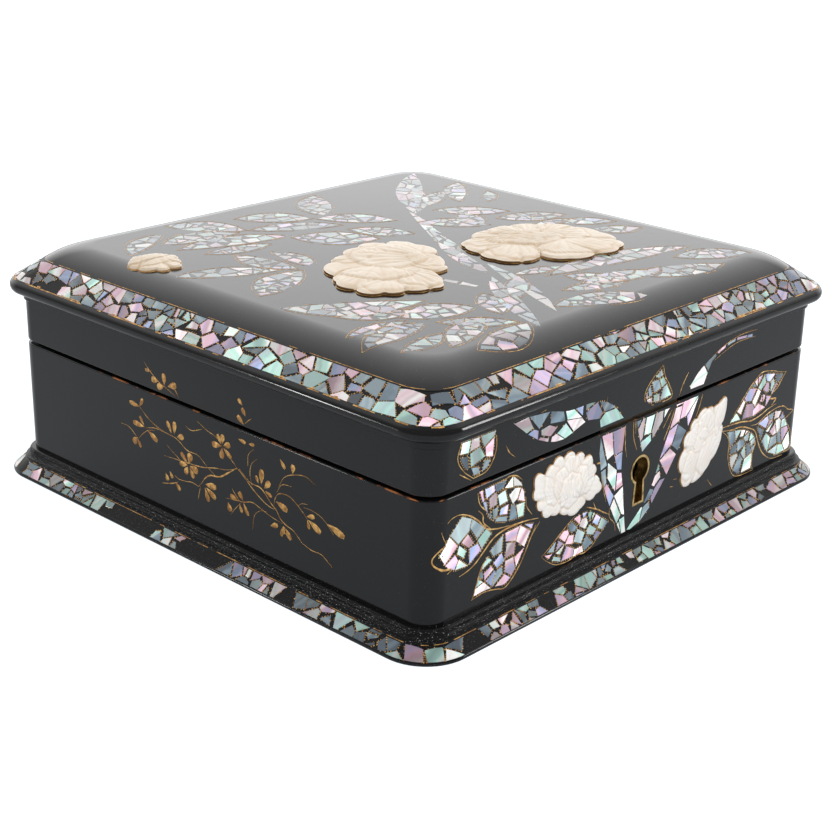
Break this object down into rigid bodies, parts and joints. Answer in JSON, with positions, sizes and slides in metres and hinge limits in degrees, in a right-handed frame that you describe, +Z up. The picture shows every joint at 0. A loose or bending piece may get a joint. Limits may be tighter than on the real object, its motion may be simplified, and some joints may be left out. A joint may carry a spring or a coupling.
{
  "type": "inlaid lacquer box",
  "caption": "Square black-lacquered keepsake box with a flared plinth, an overhanging moulded hinged lid, shell mosaic bands and leaves, and carved shell flowers.",
  "frame": {"origin": "middle of the footprint, on the surface the box stands on", "axes": "+Z up, the keyhole faces -Y, the hinges are at +Y, +X is to the right seen from the front"},
  "size_m": [0.2488, 0.2468, 0.0993],
  "materials": {
    "lacquer": "black gloss lacquer over wood, worn brown at the arrises",
    "wood": "plain unlacquered softwood",
    "abalone": "polished abalone shell mosaic, iridescent blue-grey, mint and pink",
    "carved_shell_cream": "carved shell, warm cream, semi-matt",
    "carved_shell_white": "carved mother-of-pearl, pearly white, satin",
    "brass": "aged polished brass",
    "silk": "faded crimson silk velvet over card"
  },
  "bodies": {
    "base": {"plinth_front": "lacquer", "plinth_back": "lacquer", "plinth_left": "lacquer", "plinth_right": "lacquer", "plinth_shell_front": "abalone", "plinth_shell_back": "abalone", "plinth_shell_left": "abalone", "plinth_shell_right": "abalone", "bottom_board": "wood", "base_wall_front": "lacquer", "base_wall_back": "lacquer", "base_wall_left": "lacquer", "base_wall_right": "lacquer", "base_lining_floor": "silk", "base_lining_front": "silk", "base_lining_back": "silk", "base_lining_left": "silk", "base_lining_right": "silk", "front_shell_leaves": "abalone", "front_peony": "carved_shell_white", "front_blossom": "carved_shell_white", "escutcheon": "brass", "lock_case": "brass", "lock_cap": "brass", "lock_pin": "brass", "lock_screws": "brass", "hinge_base_leaf_left": "brass", "hinge_base_leaf_right": "brass", "hinge_pins": "brass", "hinge_base_screws": "brass"},
    "lid": {"lid_wall_front": "lacquer", "lid_wall_back": "lacquer", "lid_wall_left": "lacquer", "lid_wall_right": "lacquer", "lid_rim_front": "lacquer", "lid_rim_back": "lacquer", "lid_rim_left": "lacquer", "lid_rim_right": "lacquer", "lid_shell_front": "abalone", "lid_shell_back": "abalone", "lid_shell_left": "abalone", "lid_shell_right": "abalone", "lid_board": "lacquer", "top_shell_leaves": "abalone", "lid_shell_leaves": "abalone", "top_peony_left": "carved_shell_cream", "top_peony_right": "carved_shell_cream", "top_bud": "carved_shell_cream", "lid_lining_front": "silk", "lid_lining_back": "silk", "lid_lining_left": "silk", "lid_lining_right": "silk", "lid_pad": "silk", "link_plate": "brass", "link_screws": "brass", "hinge_lid_leaf_left": "brass", "hinge_lid_leaf_right": "brass", "hinge_lid_screws": "brass"},
    "bolt": {"lock_bolt": "brass"}
  },
  "joints": [
    {"name": "lid_hinge", "type": "hinge", "parent": "base", "child": "lid", "pos_m": [0, 0.1164, 0.0562], "axis": [-1, 0, 0], "range_deg": [0, 100]},
    {"name": "lock_throw", "type": "slide", "parent": "base", "child": "bolt", "axis": [1, 0, 0], "range_m": [0, 0.0035]}
  ]
}
